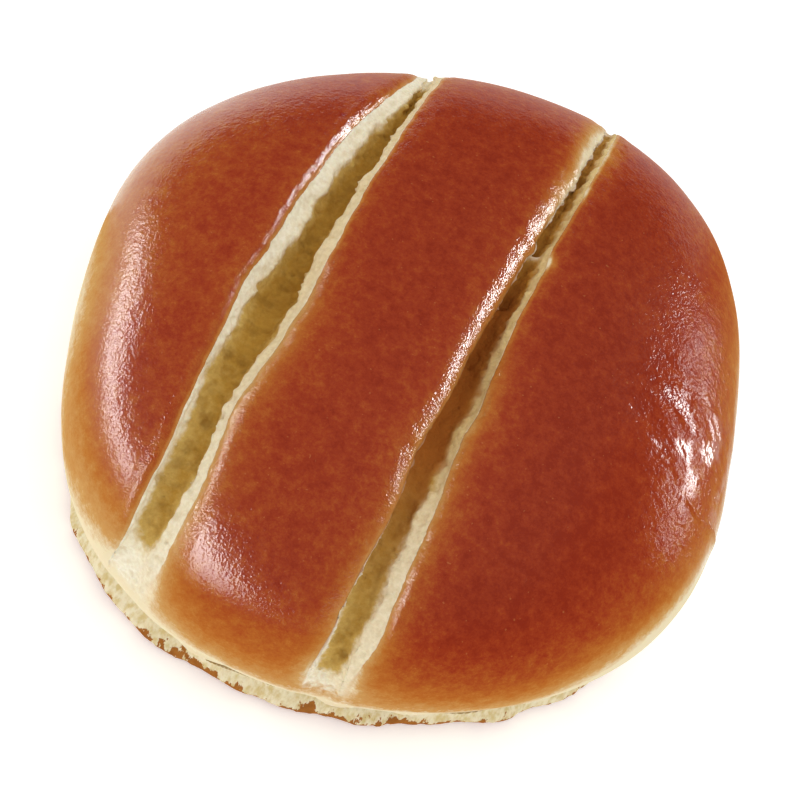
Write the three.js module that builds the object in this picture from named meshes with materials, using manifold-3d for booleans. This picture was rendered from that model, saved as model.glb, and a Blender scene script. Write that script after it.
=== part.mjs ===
// A baked potato bun: a glossy domed roll, rounded square in plan, with two open scores
// running from front to back and a pale torn foot below the crust.
// Millimetres, +Z up. The bun stands on its flat base at Z = 0, and the scores run along Y.
import * as THREE from 'three';
import { mergeVertices } from 'three/addons/utils/BufferGeometryUtils.js';
import Module from 'manifold-3d';

// Driving dimensions of the body
const RADIUS = 54;            // mean plan radius at the widest level
const HEIGHT = 45;            // base to crown
const WIDEST_LEVEL = 20;      // height of the widest level
const CREASE_LEVEL = 7.2;     // height of the crease between crust and foot
const CREASE_RATIO = 0.92;    // plan size at the crease, as a share of the widest level
const FOOT_RATIO = 0.935;     // plan size of the foot where it swells
const BASE_RATIO = 0.905;     // plan size of the flat base
const BASE_ROUNDING = 2.2;    // height over which the base edge rounds into the foot
const PLAN_POWER = 2.5;       // dome squareness sideways
const RISE_POWER = 2.0;       // dome squareness upwards
const DOME_MIDDLE = { x: 0.09, y: -0.49 };   // plan middle of the dome, which centres the bun on the origin
const FOOT_SHIFT = { x: -0.25, y: -0.35 };    // the base lies this far off from under the dome

// The plan outline is a circle with a few slow waves: folds round the bun, size, and direction of one crest
const OUTLINE_WAVES = [
  { folds: 2, swing: 1.6, crest: 71 },
  { folds: 3, swing: 0.5, crest: -40 },
  { folds: 4, swing: 1.65, crest: -25 },
  { folds: 6, swing: 0.3, crest: -13 },
];

// The torn foot is ragged: uneven waves round it, which slant as they rise and fade out above the crease
const FOOT_CRAGS = [
  { folds: 9, swing: 0.30, phase: 0.4 },
  { folds: 17, swing: 0.28, phase: 2.1 },
  { folds: 29, swing: 0.24, phase: 4.7 },
];
const CRAG_SLANT = 0.5;       // turn of a crag, in radians of its wave for each millimetre of rise
const CRAG_TOP = 9;           // level where the crags have faded out

// Scores: plan place of the middle line and half width over the crown, and how far the line has bent and the
// half width it has come to at the front and at the back, where the powers say how late the change comes.
// The floor lies off to one side by "tilt" for each millimetre of depth, as the cut stands square to the crust.
// A lip falls towards the cut by "fall", dying away over "reach" from its edge.
const SCORES = [
  {
    middle: -23.25, half: 4.2, depth: 6.2, tilt: 0.3,
    front: { bend: 0, bendPower: 1, half: 3.3, halfPower: 3 },
    back: { bend: 4.6, bendPower: 3.2, half: 1.9, halfPower: 4 },
    left: { fall: 0.8, reach: 1.6 }, right: { fall: 1.6, reach: 3.2 },
  },
  {
    middle: 8.75, half: 2.2, depth: 5.8, tilt: -0.25,
    front: { bend: 1.15, bendPower: 2, half: 3.3, halfPower: 1 },
    back: { bend: 2.2, bendPower: 2.5, half: 0.6, halfPower: 1.2 },
    left: { fall: 2.2, reach: 4.0 }, right: { fall: 1.0, reach: 1.8 },
  },
];
// Directions in a score's upright section, in degrees over the top from level at the front
const SCORE_FRONT = -17;          // the cut runs out here, just above the foot
const SCORE_FULL_FRONT = 26;      // it has its full depth between these two
const SCORE_FULL_BACK = 138;
const SCORE_BACK = 176;           // and runs out here, low on the back
const SCORE_CROWN = 75;           // bends and changes of width are measured from here
const SCORE_BACK_SPAN = 90;       // they are complete this far over the back
const LIP_SHARE = 0.6;            // share of the cutter's columns that lie inside the cut
const LIP_REACHES = 2.2;          // the lip is shaped out to this many reaches
const LIP_CLEARANCE = 0.35;       // how far the cutter lifts clear of the crust at its outer edge
const CUTTER_ABOVE = 6;           // how far the cutter stands above the crust
const END_SHARE = 0.25;           // the cutter also lifts clear where the cut is shallower than this share
const CRUMB_RELIEF = 0.35;        // unevenness of the torn crumb inside the cut
const CRUMB_RIPPLES = [           // radians of wave along each degree of the cut, and across its width
  { along: 0.23, across: 5 },
  { along: 0.52, across: -9 },
];

// How finely the surfaces are divided
const ROUND_STEPS = 112;
const FOOT_STEPS = 5;
const LOWER_STEPS = 5;
const UPPER_STEPS = 14;
const CUTTER_COLUMNS = 20;
const CUTTER_ROWS = 56;

const CRUST = new THREE.MeshStandardMaterial({ color: 0x91341f, roughness: 0.32, metalness: 0 });
CRUST.name = 'crust';

const { degToRad, smoothstep, lerp, clamp } = THREE.MathUtils;

// Plan radius of the widest level in one direction
function planRadius(angle) {
  let radius = RADIUS;
  for (const { folds, swing, crest } of OUTLINE_WAVES) {
    radius += swing * Math.cos(folds * (angle - degToRad(crest)));
  }
  return radius;
}

// Raggedness of the foot in one direction and at one level
function footCrag(angle, level) {
  let crag = 0;
  for (const { folds, swing, phase } of FOOT_CRAGS) {
    crag += swing * Math.sin(folds * angle + phase + level * CRAG_SLANT);
  }
  const rising = smoothstep(level, -BASE_ROUNDING, BASE_ROUNDING);
  const fading = 1 - smoothstep(level, CREASE_LEVEL, CRAG_TOP);
  return crag * rising * fading;
}

// Plan size at a level, as a share of the widest level
function sideRatio(level) {
  if (level <= BASE_ROUNDING) {
    const rest = 1 - level / BASE_ROUNDING;
    return BASE_RATIO + (FOOT_RATIO - BASE_RATIO) * Math.sqrt(1 - rest * rest);
  }
  if (level <= CREASE_LEVEL) {
    return lerp(FOOT_RATIO, CREASE_RATIO, smoothstep(level, BASE_ROUNDING, CREASE_LEVEL));
  }
  if (level <= WIDEST_LEVEL) {
    const below = (WIDEST_LEVEL - level) / (WIDEST_LEVEL - CREASE_LEVEL);
    return CREASE_RATIO + (1 - CREASE_RATIO) * Math.sqrt(1 - below * below);
  }
  const rise = Math.min((level - WIDEST_LEVEL) / (HEIGHT - WIDEST_LEVEL), 1);
  return (1 - rise ** RISE_POWER) ** (1 / PLAN_POWER);
}

// Plan middle of the bun at a level
function middleAt(level) {
  const low = 1 - smoothstep(level, 0, WIDEST_LEVEL);
  return { x: DOME_MIDDLE.x + FOOT_SHIFT.x * low, y: DOME_MIDDLE.y + FOOT_SHIFT.y * low };
}

// True inside the bun before it is scored
function isInside(x, y, z) {
  if (z <= 0 || z >= HEIGHT) return false;
  const middle = middleAt(z);
  const across = x - middle.x;
  const along = y - middle.y;
  return Math.hypot(across, along) < planRadius(Math.atan2(along, across)) * sideRatio(z);
}

// Levels of the side rings, close together where the side turns quickly
function ringLevels() {
  const levels = [];
  for (let step = 1; step <= FOOT_STEPS; step += 1) {
    levels.push(CREASE_LEVEL * step / FOOT_STEPS);
  }
  for (let step = 1; step <= LOWER_STEPS; step += 1) {
    const turn = 0.5 * Math.PI * step / LOWER_STEPS;
    levels.push(CREASE_LEVEL + (WIDEST_LEVEL - CREASE_LEVEL) * (1 - Math.cos(turn)));
  }
  for (let step = 1; step < UPPER_STEPS; step += 1) {
    const turn = 0.5 * Math.PI * step / UPPER_STEPS;
    levels.push(WIDEST_LEVEL + (HEIGHT - WIDEST_LEVEL) * Math.sin(turn));
  }
  return levels;
}

// Closed position-only geometry with shared corners and no collapsed triangles
function weld(geometry) {
  geometry.deleteAttribute('normal');
  geometry.deleteAttribute('uv');
  const welded = mergeVertices(geometry);
  const kept = [];
  const index = welded.index.array;
  for (let corner = 0; corner < index.length; corner += 3) {
    const [a, b, c] = index.slice(corner, corner + 3);
    if (a !== b && b !== c && c !== a) kept.push(a, b, c);
  }
  welded.setIndex(kept);
  return welded;
}

// The unscored bun: a lathe of the side profile, then pushed out to the plan outline
function bunBody() {
  const profile = [new THREE.Vector2(0, 0), new THREE.Vector2(BASE_RATIO, 0)];
  for (const level of ringLevels()) {
    profile.push(new THREE.Vector2(sideRatio(level), level));
  }
  profile.push(new THREE.Vector2(0, HEIGHT));
  const body = weld(new THREE.LatheGeometry(profile, ROUND_STEPS).rotateX(Math.PI / 2));
  const place = body.attributes.position;
  for (let corner = 0; corner < place.count; corner += 1) {
    const level = place.getZ(corner);
    const ratio = Math.hypot(place.getX(corner), place.getY(corner));
    const angle = Math.atan2(place.getY(corner), place.getX(corner));
    const reach = ratio > 0 ? ratio * planRadius(angle) + footCrag(angle, level) : 0;
    const middle = middleAt(level);
    place.setX(corner, middle.x + reach * Math.cos(angle));
    place.setY(corner, middle.y + reach * Math.sin(angle));
  }
  return body;
}

// Distance to the crust in the upright section at x, from the widest level and in one direction over the top
function crustReach(x, direction) {
  let inner = 0;
  let outer = 2 * RADIUS;
  for (let halving = 0; halving < 40; halving += 1) {
    const middle = 0.5 * (inner + outer);
    const y = -middle * Math.cos(direction);
    const z = WIDEST_LEVEL + middle * Math.sin(direction);
    if (isInside(x, y, z)) inner = middle;
    else outer = middle;
  }
  return inner;
}

// Depth of the cut along its length, as a share of its full depth
function depthShare(degrees) {
  const front = smoothstep(degrees, SCORE_FRONT, SCORE_FULL_FRONT);
  const back = 1 - smoothstep(degrees, SCORE_FULL_BACK, SCORE_BACK);
  return Math.min(front, back);
}

// Unevenness of the torn crumb at one place in the cut
function crumbRelief(degrees, column) {
  let ripple = 0;
  for (const { along, across } of CRUMB_RIPPLES) {
    ripple += Math.sin(degrees * along + column * across);
  }
  return CRUMB_RELIEF * ripple;
}

// Middle line and half width of a score in one direction over the top
function scoreLine(score, degrees) {
  const isFront = degrees < SCORE_CROWN;
  const end = isFront ? score.front : score.back;
  const way = clamp((degrees - SCORE_CROWN) / (isFront ? -SCORE_CROWN : SCORE_BACK_SPAN), 0, 1);
  return {
    middle: score.middle + end.bend * way ** end.bendPower,
    half: lerp(score.half, end.half, way ** end.halfPower),
  };
}

// The tool that opens one score: a box laid over the crust, its underside shaped as cut and lips
function scoreCutter(score) {
  const box = weld(new THREE.BoxGeometry(2, 1, 1, CUTTER_COLUMNS, CUTTER_ROWS, 1));
  const place = box.attributes.position;
  for (let corner = 0; corner < place.count; corner += 1) {
    const column = place.getX(corner);
    const degrees = lerp(SCORE_FRONT, SCORE_BACK, place.getY(corner) + 0.5);
    const direction = degToRad(degrees);
    const share = depthShare(degrees);
    const lip = column < 0 ? score.left : score.right;
    const { middle, half } = scoreLine(score, degrees);
    const inward = clamp(Math.abs(column) / LIP_SHARE, 0, 1) * 0.5 * Math.PI;
    const outward = clamp((Math.abs(column) - LIP_SHARE) / (1 - LIP_SHARE), 0, 1);
    const beyond = LIP_REACHES * lip.reach * outward * outward;
    const cut = (score.depth + crumbRelief(degrees, column)) * share * Math.cos(inward);
    const fall = lip.fall * share * Math.exp(-beyond / lip.reach);
    const clear = LIP_CLEARANCE * Math.max(outward, 1 - share / END_SHARE);
    const x = middle + Math.sign(column) * (half * Math.sin(inward) + beyond);
    const isTop = place.getZ(corner) > 0;
    const reach = crustReach(x, direction) + (isTop ? CUTTER_ABOVE : clear - cut - fall);
    place.setX(corner, isTop ? x : x + score.tilt * cut);
    place.setY(corner, -reach * Math.cos(direction));
    place.setZ(corner, WIDEST_LEVEL + reach * Math.sin(direction));
  }
  return box;
}

const wasm = await Module();
wasm.setup();

function toSolid(geometry) {
  const vertProperties = new Float32Array(geometry.attributes.position.array);
  const triVerts = new Uint32Array(geometry.index.array);
  return new wasm.Manifold(new wasm.Mesh({ numProp: 3, vertProperties, triVerts }));
}

function toGeometry(solid) {
  const { vertProperties, triVerts } = solid.getMesh();
  const geometry = new THREE.BufferGeometry();
  geometry.setAttribute('position', new THREE.BufferAttribute(vertProperties, 3));
  geometry.setIndex(new THREE.BufferAttribute(triVerts, 1));
  return geometry;
}

let bunSolid = toSolid(bunBody());
for (const score of SCORES) {
  bunSolid = bunSolid.subtract(toSolid(scoreCutter(score)));
}

const bun = new THREE.Mesh(toGeometry(bunSolid), CRUST);
bun.name = 'bun';
bun.geometry.computeVertexNormals();

const part = new THREE.Group();
part.add(bun);

export default part;
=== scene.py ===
# A baked potato bun: one roll with a dark glazed crust, two open scores that show pale crumb, and a torn pale
# foot on a browned base. Lengths are millimetres until the mesh is placed; directions are as in the solid.
import math

import bpy
import numpy as np
from mathutils import Matrix, Quaternion, Vector


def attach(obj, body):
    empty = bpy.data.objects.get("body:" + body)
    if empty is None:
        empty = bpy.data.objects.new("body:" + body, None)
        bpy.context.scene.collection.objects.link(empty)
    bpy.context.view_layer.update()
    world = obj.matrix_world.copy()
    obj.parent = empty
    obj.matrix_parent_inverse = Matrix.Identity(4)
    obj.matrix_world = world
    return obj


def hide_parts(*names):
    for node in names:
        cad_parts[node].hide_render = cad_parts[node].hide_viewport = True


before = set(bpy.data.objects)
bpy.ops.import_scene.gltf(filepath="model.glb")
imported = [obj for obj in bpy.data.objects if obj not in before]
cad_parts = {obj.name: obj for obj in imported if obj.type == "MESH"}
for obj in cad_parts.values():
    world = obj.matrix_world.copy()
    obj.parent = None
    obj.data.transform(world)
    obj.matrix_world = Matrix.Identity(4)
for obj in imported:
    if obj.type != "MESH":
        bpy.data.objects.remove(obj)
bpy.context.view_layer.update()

MILLIMETRE = 0.001
SIDES = (("left", -1.0), ("right", 1.0))

# Body, as in the solid
RADIUS = 54.0
HEIGHT = 45.0
WIDEST_LEVEL = 20.0
CREASE_LEVEL = 7.2
CREASE_RATIO = 0.92
FOOT_RATIO = 0.935
BASE_RATIO = 0.905
BASE_ROUNDING = 2.2
PLAN_POWER = 2.5
RISE_POWER = 2.0
DOME_MIDDLE = (0.09, -0.49)
FOOT_SHIFT = (-0.25, -0.35)
OUTLINE_WAVES = ((2, 1.6, 71.0), (3, 0.5, -40.0), (4, 1.65, -25.0), (6, 0.3, -13.0))  # folds, swing, crest
FOOT_CRAGS = ((9, 0.30, 0.4), (17, 0.28, 2.1), (29, 0.24, 4.7))  # folds, swing, phase
CRAG_SLANT = 0.5
CRAG_TOP = 9.0

# Scores, as in the solid
SCORES = (
    {
        "middle": -23.25, "half": 4.2, "depth": 6.2, "tilt": 0.3, "upright": 2.0,
        "front": {"bend": 0.0, "bend_power": 1.0, "half": 3.3, "half_power": 3.0},
        "back": {"bend": 4.6, "bend_power": 3.2, "half": 1.9, "half_power": 4.0},
    },
    {
        "middle": 8.75, "half": 2.2, "depth": 5.8, "tilt": -0.35, "upright": 0.4,
        "front": {"bend": 1.15, "bend_power": 2.0, "half": 3.3, "half_power": 1.0},
        "back": {"bend": 1.95, "bend_power": 2.5, "half": 1.0, "half_power": 1.2},
    },
)
SCORE_FRONT = -17.0
SCORE_FULL_FRONT = 26.0
SCORE_FULL_BACK = 144.0
SCORE_BACK = 182.0
SCORE_CROWN = 75.0
SCORE_BACK_SPAN = 90.0

# Lips: near a score the crust swells, slopes down and rounds over at its edge, and may wrap into the score;
# below the crown a lip can flare out. The paling is a share, and fades over the pale reach
LIPS = (
    {"left": {"slope": 0.24, "reach": 2.0, "round": 2.4, "swell": 0.30, "wrap": 0.1, "flare": -1.2,
              "paling": 0.45, "pale_reach": 2.7},
     "right": {"slope": 0.30, "reach": 3.0, "round": 2.8, "swell": 0.20, "wrap": 0.1, "flare": 0.4,
               "paling": 1.0, "pale_reach": 3.0}},
    {"left": {"slope": 0.75, "reach": 2.6, "round": 0.9, "swell": 0.05, "wrap": 0.2, "flare": -0.4,
              "paling": 0.85, "pale_reach": 2.8},
     "right": {"slope": 0.25, "reach": 2.0, "round": 1.8, "swell": 0.20, "wrap": 0.1, "flare": 0.4,
               "paling": 0.95, "pale_reach": 3.0}},
)
SLOPE_SOFTNESS = 0.5  # how softly a lip's slope begins
SWELL_PLACE = 1.3  # a lip swells most at this distance from its edge
SWELL_WIDTH = 0.75
WRAP_FADE = 1.2  # the paling of a lip fades this fast into the score
FILLET_START = 0.08  # a lip's rounding stops short of upright by this share
FLARE_LOW = -9.0  # degrees over the top where the flare is full, and gone
FLARE_HIGH = 9.0
BACK_FLATTER = 0.75  # right lips lose this share of their fall towards the back
BACK_FLATTER_SPAN = (60.0, 100.0)  # degrees over the top
BACK_PALING_SPAN = (55.0, 100.0)  # towards the back a right lip also pales less, and less far in
BACK_PALING_LOSS = 0.5
BACK_REACH_LOSS = 0.4
RIM_SHARE = 0.76  # the very edge of a lip is golden: it pales by this share at least
RIM_FADE = (0.16, 0.8)  # as far from the edge as this
LIP_PALEST = -11.0  # browning of a lip that has paled fully
LIP_WAVER = ((10.0, 0.26), (4.5, 0.14), (1.8, 0.05))  # unevenness of a lip: length and swing
LIP_SEEDS = {"left": 100, "right": 200}
WAVER_SHARE = 0.4  # narrow scores waver less: share of the waver for a millimetre of half width
# Places where a lip strays from its line: score, side, degrees over the top, span in degrees, shift
LIP_STRAYS = (
    (0, "left", 27.0, 8.0, -0.4), (0, "left", 39.0, 8.0, -0.5), (0, "left", 57.0, 14.0, -1.3),
    (0, "right", 31.0, 8.0, -0.6), (0, "right", 36.0, 16.0, -0.9),
    (1, "left", 40.0, 8.0, -0.4), (1, "left", 126.0, 2.2, 0.6), (1, "left", 149.0, 3.0, 0.5),
    (1, "right", 10.0, 6.0, 1.0), (1, "right", 20.0, 8.0, 0.5), (1, "right", 33.0, 5.0, 0.35),
    (1, "right", 40.0, 6.0, -0.3), (1, "right", 50.0, 6.0, -0.45), (1, "right", 125.0, 4.0, -0.35),
)
# Torn crust on a lip: score, side, degrees over the top, span in degrees, reach from the lip, paling
TEARS = (
    (1, "left", 147.0, 14.0, 4.2, 6.0), (1, "left", 160.0, 10.0, 5.4, 8.0),
    (1, "right", 120.5, 3.0, 3.0, 11.0), (1, "right", 145.0, 2.0, 1.0, 9.0),
    (1, "right", 157.0, 9.0, 5.5, 8.0),
)
TEAR_FULL = 0.2  # share of its reach over which a tear is full

# Torn crumb in the scores: from each lip a sloping ledge leads down to the trough
LEDGE_SHARE = 0.34  # share of a half score's columns that lie on the ledge
LEDGE_WIDEST = 0.85  # a ledge takes no more of a half score than this share
# Ledges along each score: degrees over the top, width and drop
LEDGES = (
    {"left": ((4.0, 0.3, 0.4), (20.0, 0.3, 1.0), (35.0, 0.6, 2.0), (62.0, 1.9, 2.2), (95.0, 2.7, 2.3),
              (155.0, 2.2, 1.8)),
     "right": ((2.0, 1.8, 0.8), (18.0, 1.6, 1.8), (35.0, 1.5, 2.0), (62.0, 1.4, 1.6), (95.0, 1.5, 1.2),
               (155.0, 0.9, 0.9))},
    {"left": ((4.0, 0.5, 0.5), (30.0, 0.4, 0.8), (60.0, 0.2, 0.8), (158.0, 0.2, 0.4)),
     "right": ((4.0, 1.8, 0.8), (28.0, 1.8, 2.2), (40.0, 0.6, 2.0), (67.0, 0.6, 1.7), (87.0, 0.9, 1.7),
               (117.0, 0.5, 1.1), (130.0, 0.4, 0.8), (140.0, 0.6, 0.8), (158.0, 0.4, 0.4))},
)
LEDGE_WAVER = ((9.0, 0.24), (3.2, 0.30))  # unevenness of a ledge: length, and swing as a share
LEDGE_SEEDS = {"left": 300, "right": 310}
# Depth of each trough along the score: degrees over the top and millimetres
TROUGHS = (
    ((0.0, 4.4), (35.0, 5.0), (75.0, 5.4), (180.0, 5.6)),
    ((0.0, 4.2), (40.0, 4.6), (75.0, 4.9), (100.0, 3.9), (126.0, 3.2), (150.0, 2.8), (180.0, 2.4)),
)
# Below a power of 1 the floor is flatter and the walls steeper. Raggedness is a share of the ledge's width.
# A shelf of 1 is rounded over and one of 0 is straight
TROUGH_SIDES = (
    {"left": {"power": 0.9, "ragged": 0.45, "shelf": 0.0},
     "right": {"power": 1.15, "ragged": 0.8, "shelf": 0.7}},
    {"left": {"power": 0.8, "ragged": 0.35, "shelf": 1.0},
     "right": {"power": 1.7, "ragged": 0.8, "shelf": 0.5}},
)
# Holes and bridges in the crumb: score, degrees over the top, span in degrees, depth (a bridge is negative)
HOLLOWS = (
    (1, 111.0, 4.5, 1.3), (1, 107.6, 1.1, 1.4), (1, 125.0, 0.9, -2.0),
    (0, 60.0, 5.0, 0.5), (0, 100.0, 6.0, -0.5),
)

# What the crumb's colours follow; spans are degrees over the top
CRUMB_SHADE_TONES = ((0.95, 1.0), (1.0, 1.7))  # how deep each score seems at its front and back, as a share, for the crumb's painted shade
FRONT_SHADE_TONE_SPAN = (20.0, 70.0)
BACK_SHADE_TONE_SPAN = (85.0, 120.0)
FLOOR_ENDS = ((0.2, 0.6), (0.05, 0.45))  # shares of the depth between which each floor turns to the ochre of its painted shade
RIGHT_WALL_SHADE = (0.6, 1.0)  # painted shade: how strongly the right walls of the two scores are tinted warm and darker
RIGHT_WALL_SHADE_FRONT = 0.35  # share of that at the front
RIGHT_WALL_SHADE_SPAN = (15.0, 50.0)
RIGHT_WALL_SHADE_ACROSS = (-0.1, 0.5)  # across a score, from -1 at the left lip to 1 at the right one
SHADED_SCORE = 1  # painted shade: the second score is coloured brown in its trough and under its left lip, as shade in that narrow trough
SHADE_FROM_BAND = 2.5
SHADE_SHALLOW = 0.7  # share of the stain where the score has not opened
SHADE_ACROSS = (0.75, 0.3)
SHADE_SPAN = (6.0, 44.0)
SHADE_BACK_SPAN = (105.0, 125.0)
SHADE_BACK_LOSS = 0.6
LIP_SHADE = 0.85
LIP_SHADE_ACROSS = (-0.6, -0.95)
LIP_SHADE_SPAN = (-2.0, 10.0)
LIP_SHADE_BACK_SPAN = (120.0, 100.0)
END_PALING = 5.0  # the crust pales where a score runs out at the front
END_REACH = 1.8
END_SPAN = (8.0, -7.0)

# The mesh is laid out over five bands across the bun (lobe, score, lobe, score, lobe) and by a turn round
# its upright sections: 0 is level at the front, 180 level at the back, and past them come side and base.
BAND_COLUMNS = (10, 8, 10, 8, 14)
CROWN_ROWS = 60
SIDE_ROWS = 8
BASE_ROWS = 4
SIDE_TURN = 60.0
BASE_TURN = 30.0
SIDE_REACH = 0.97  # the degrees of a section go on down the sides as seen from this share of the radius
BASE_LINE = 0.8  # the base closes on a line as long as this share of the bun
CORE_FRONT = 15.0  # the core line of the sections bends to the poles beyond these two places
CORE_BACK = -29.0
FAR_FROM_LIPS = 99.0
# Edge lengths of the mesh, and how fast they grow away from a lip and from the foot
SKIN_GRID = 1.6
CRUMB_GRID = 0.41
CRUMB_GRID_GROWTH = 0.30
FOOT_GRID = 0.66
FOOT_GRID_GROWTH = 0.25
WRINKLE_GRID = 0.66
MARK_GRID = 0.33
BASE_GRID = 2.4
SPLIT_OVER = 1.35  # an edge is split where it is longer than wanted by this factor
SPLIT_ROUNDS = 8
WELD_STEPS = 2000.0  # corners in the same step of a millimetre are one

# Relief: height, size of the features and seed of each noise
CRUST_RELIEF = ((0.20, 17.0, 1), (0.07, 7.0, 2))
CRUMB_RELIEF = ((0.24, 2.8, 3), (0.20, 1.3, 4), (0.10, 0.75, 9))
LIP_RELIEF = ((0.13, 2.1, 41), (0.07, 0.9, 42))
TEAR_RELIEF = ((0.22, 0.9, 43), (0.18, 1.6, 44))
FOOT_RELIEF = ((0.10, 5.0, 6), (0.05, 2.5, 7), (0.025, 1.25, 8), (0.05, 0.9, 7))
FIBRE_RELIEF = ((0.13, 1.5, 64), (0.08, 0.8, 65))
BASE_RELIEF = ((0.12, 5.0, 8),)
CREASE_WAVER = ((0.6, 14.0, 61), (0.35, 4.0, 62))
# Lumps and pits of the crumb: height, spacing, seed, smallest and largest radius
CRUMB_DOTS = ((0.55, 2.4, 15, 0.4, 1.5), (-0.42, 1.7, 5, 0.2, 0.8))
OPEN_SHARES = (0.02, 0.3)  # shares of the depth between which a score opens
CRUMB_START = (0.15, 1.4)  # distances into a score over which the crumb's relief sets in
BEAD_PLACE = 0.7  # the beads of a lip are highest at this distance from it
BEAD_WIDTH = 1.1
BASE_EDGE = 0.05
FOOT_EDGE = 0.6
FOOT_STREAK = np.array((1.0, 1.0, 0.4))
FIBRE_STREAK = 0.3
CREASE_DROP = 0.2
CREASE_DEPTH = 0.8
CREASE_WIDTH = 0.7
CREASE_SHADE = 0.45
FOOT_BLEND = 0.9
PORE = (-23.3, -37.2, 1.05)  # a round pore in the floor of the first score: x, y, radius
PORE_DEPTH = 0.7
PORE_RIM = (0.2, 1.15, 0.2)  # its raised rim: height, and place and width in radii
# Faint scratches on the right lobe, and a small dark blister on the left one: x and y, and a width
SCRATCHES = (((15.9, -32.2), (22.5, -32.8), (27.8, -32.5)), ((18.5, -25.8), (22.8, -30.3)))
SCRATCH_WIDTH = 0.35
SCRATCH_DEPTH = 0.06
SCRATCH_PALING = 3.0
BLISTER = (-27.3, 24.6, 0.55)
MARK_LEVELS = (26.0, 32.0)

# Zones on the bun: ramps rise from 0 at their first value to 1 at their second, and bells have a middle and a
# width. Directions are degrees in plan, 0 to the right and -90 to the front; off_right is how far they turn.
# Wrinkled skin on the right shoulder, slanting down to the front, and one longer fold in front of it
SHOULDER = {"bells": {"direction": (5.0, 20.0), "level": (33.0, 8.0)}}
WRINKLE_RUN = (0.8, 0.6)  # along the wrinkles, by direction and level
WRINKLE_CROSS = (0.45, -0.85)
WRINKLE_STRETCH = 2.2
RIDGES = (0.06, 2.4, 51)
FINE_WRINKLES = ((0.13, 0.9, 52),)
SKIN_PATCHES = ((0.15, 4.2, 53),)
FOLD_DIRECTION = -8.0
FOLD_TURN = 3.0
FOLD_TURN_LEVELS = (33.0, 26.0)
FOLD_WIDTH = 0.55
FOLD_DEPTH = 0.35
FOLD_FOOT = (21.0, 25.0)
FOLD_TOP = (36.0, 32.5)

# Browning: how far above the level where the sides pale a place lies, in millimetres
PALING_LEVEL = 30.0
PALING_WAVER = ((1.3, 16.0, 31), (0.6, 5.0, 32))
PALING_ZONES = (
    {"amount": -8.0, "bells": {"direction": (-62.0, 38.0)}},
    {"amount": -2.5, "bells": {"direction": (-97.0, 20.0)}},
    {"amount": -3.5, "bells": {"direction": (-135.0, 20.0)}},
    {"amount": 3.0, "bells": {"off_right": (164.0, 20.0)}},
    {"amount": 2.0, "bells": {"direction": (-12.0, 14.0)}},
)
MOST_BROWN = 9.0
BROWN_BLOTCHES = ((1.6, 22.0, 33),)
BROWN_ZONES = (
    # Browner to the back and to the right, paler on the left lobe's front and on the right shoulder
    {"amount": 1.5, "ramps": {"y": (8.0, 34.0)}},
    {"amount": 3.0, "ramps": {"x": (-26.0, 30.0), "level": (20.0, 32.0)}},
    {"amount": -1.0, "ramps": {"x": (-18.0, -30.0), "y": (5.0, -20.0)}},
    {"amount": -3.0, "ramps": {"x": (14.0, 30.0), "y": (4.0, 26.0)}},
    {"amount": -2.0, "ramps": {"x": (34.0, 44.0)}},
    # Paler on the front of the middle lobe, low on the right and low on the left
    {"amount": -1.5, "ramps": {"y": (-18.0, -44.0), "level": (20.0, 27.0)}, "bells": {"x": (-6.0, 15.0)}},
    {"amount": -8.5, "ramps": {"level": (30.0, 21.0)}, "bells": {"direction": (-16.0, 15.0)}},
    {"amount": -5.0, "bells": {"direction": (-140.0, 24.0), "level": (24.5, 5.5)}},
    # Cream just above the crease
    {"amount": -7.0, "ramps": {"level": (CREASE_LEVEL + 4.5, CREASE_LEVEL + 0.5)}},
)

# Glaze: it starts at a level, higher at the front and lower at the back, and needs some browning to hold
GLAZE_LOW = 25.0
GLAZE_FADE = 7.0
GLAZE_FRONT_RISE = 5.0
GLAZE_FRONT = (-50.0, 35.0)
GLAZE_BACK_DROP = 8.0
GLAZE_BACK = {"y": (-12.0, 18.0), "direction": (-24.0, -8.0)}
GLAZE_PALEST = -6.0
GLAZE_BACK_PALER = 7.0
GLAZE_BACK_LOSS = 0.7  # thinner far at the back
GLAZE_LOSS_SPAN = (16.0, 42.0)
# Rubbed thin on the right shoulder, except in patches
RUBBED = {"ramps": {"x": (26.0, 35.0), "level": (23.0, 28.0)}}
RUBBED_GLAZE = 0.08
PATCH_GLAZE = 0.85
PATCH_NOISE = ((1.0, 3.2, 71), (0.5, 1.6, 72), (0.25, 0.8, 73))
PATCH_STEP = (-0.2, 0.6)
PATCH_DIRECTION = (3.0, 8.5)

# Browned chips of the foot: how high they reach, and how much higher towards the front
SCORCH_LOW = 1.0
SCORCH_FRONT = 0.9
SCORCH_DIRECTION = (-75.0, 35.0)


def smoothstep(value, low, high):
    """Eases from 0 at low to 1 at high, which may be the smaller one."""
    share = np.clip((value - low) / (high - low), 0.0, 1.0)
    return share * share * (3.0 - 2.0 * share)


def mix(first, second, share):
    return first + (second - first) * share


def bell(value, middle, width):
    return np.exp(-((value - middle) / width) ** 2)


# Noise
def lattice(cell_x, cell_y, cell_z, seed):
    """A repeatable random number from 0 to 1 for each cell of a grid."""
    mixed = (cell_x * 374761393 + cell_y * 668265263 + cell_z * 974711 + seed * 69069) & 0xFFFFFFFF
    mixed = ((mixed ^ (mixed >> 13)) * 1274126177) & 0xFFFFFFFF
    mixed = ((mixed ^ (mixed >> 16)) * 668265263) & 0xFFFFFFFF
    return ((mixed ^ (mixed >> 15)) & 0xFFFFFF) / float(0xFFFFFF)


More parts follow.
